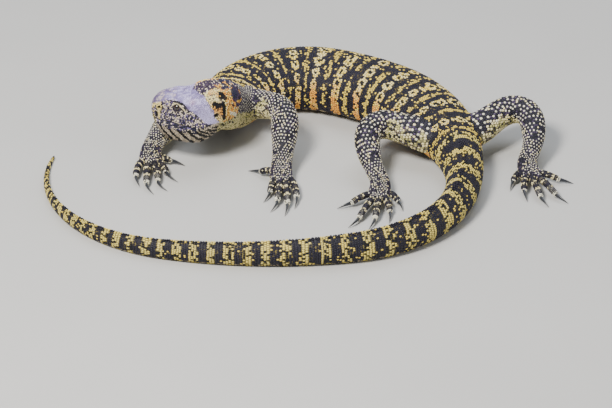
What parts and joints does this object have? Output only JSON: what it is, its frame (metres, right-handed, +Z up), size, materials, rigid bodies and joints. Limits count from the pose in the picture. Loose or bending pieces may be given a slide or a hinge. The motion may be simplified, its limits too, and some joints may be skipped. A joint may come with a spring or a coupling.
{
  "type": "nile monitor lizard model",
  "caption": "Life-size still model of a nile monitor lying on the floor, head turned to its right, body and long tail curving round behind and beside it.",
  "frame": {"origin": "on the floor under the belly, at the middle of the trunk's front half", "axes": "+X to the right of the picture's picture, along which the trunk and hips lie; +Y away from the viewer; +Z up from the floor"},
  "size_m": [0.5295, 0.3787, 0.0862],
  "materials": {
    "skin": "satin",
    "horn": "gloss",
    "eye": "gloss"
  },
  "bodies": {
    "root": {"head": "skin", "neck": "skin", "torso_front": "skin", "torso_mid": "skin", "torso_rear": "skin", "tail_1": "skin", "tail_2": "skin", "tail_3": "skin", "tail_4": "skin", "tail_5": "skin", "tail_6": "skin", "tail_7": "skin", "upper_arm_front_left": "skin", "forearm_front_left": "skin", "hand_front_left": "skin", "upper_arm_front_right": "skin", "forearm_front_right": "skin", "hand_front_right": "skin", "thigh_rear_left": "skin", "shank_rear_left": "skin", "foot_rear_left": "skin", "thigh_rear_right": "skin", "shank_rear_right": "skin", "foot_rear_right": "skin", "eye_left": "eye", "eye_right": "eye", "claw_1_front_left": "horn", "claw_2_front_left": "horn", "claw_3_front_left": "horn", "claw_4_front_left": "horn", "claw_5_front_left": "horn", "claw_1_front_right": "horn", "claw_2_front_right": "horn", "claw_3_front_right": "horn", "claw_4_front_right": "horn", "claw_5_front_right": "horn", "claw_1_rear_left": "horn", "claw_2_rear_left": "horn", "claw_3_rear_left": "horn", "claw_4_rear_left": "horn", "claw_5_rear_left": "horn", "claw_1_rear_right": "horn", "claw_2_rear_right": "horn", "claw_3_rear_right": "horn", "claw_4_rear_right": "horn", "claw_5_rear_right": "horn"}
  },
  "joints": []
}
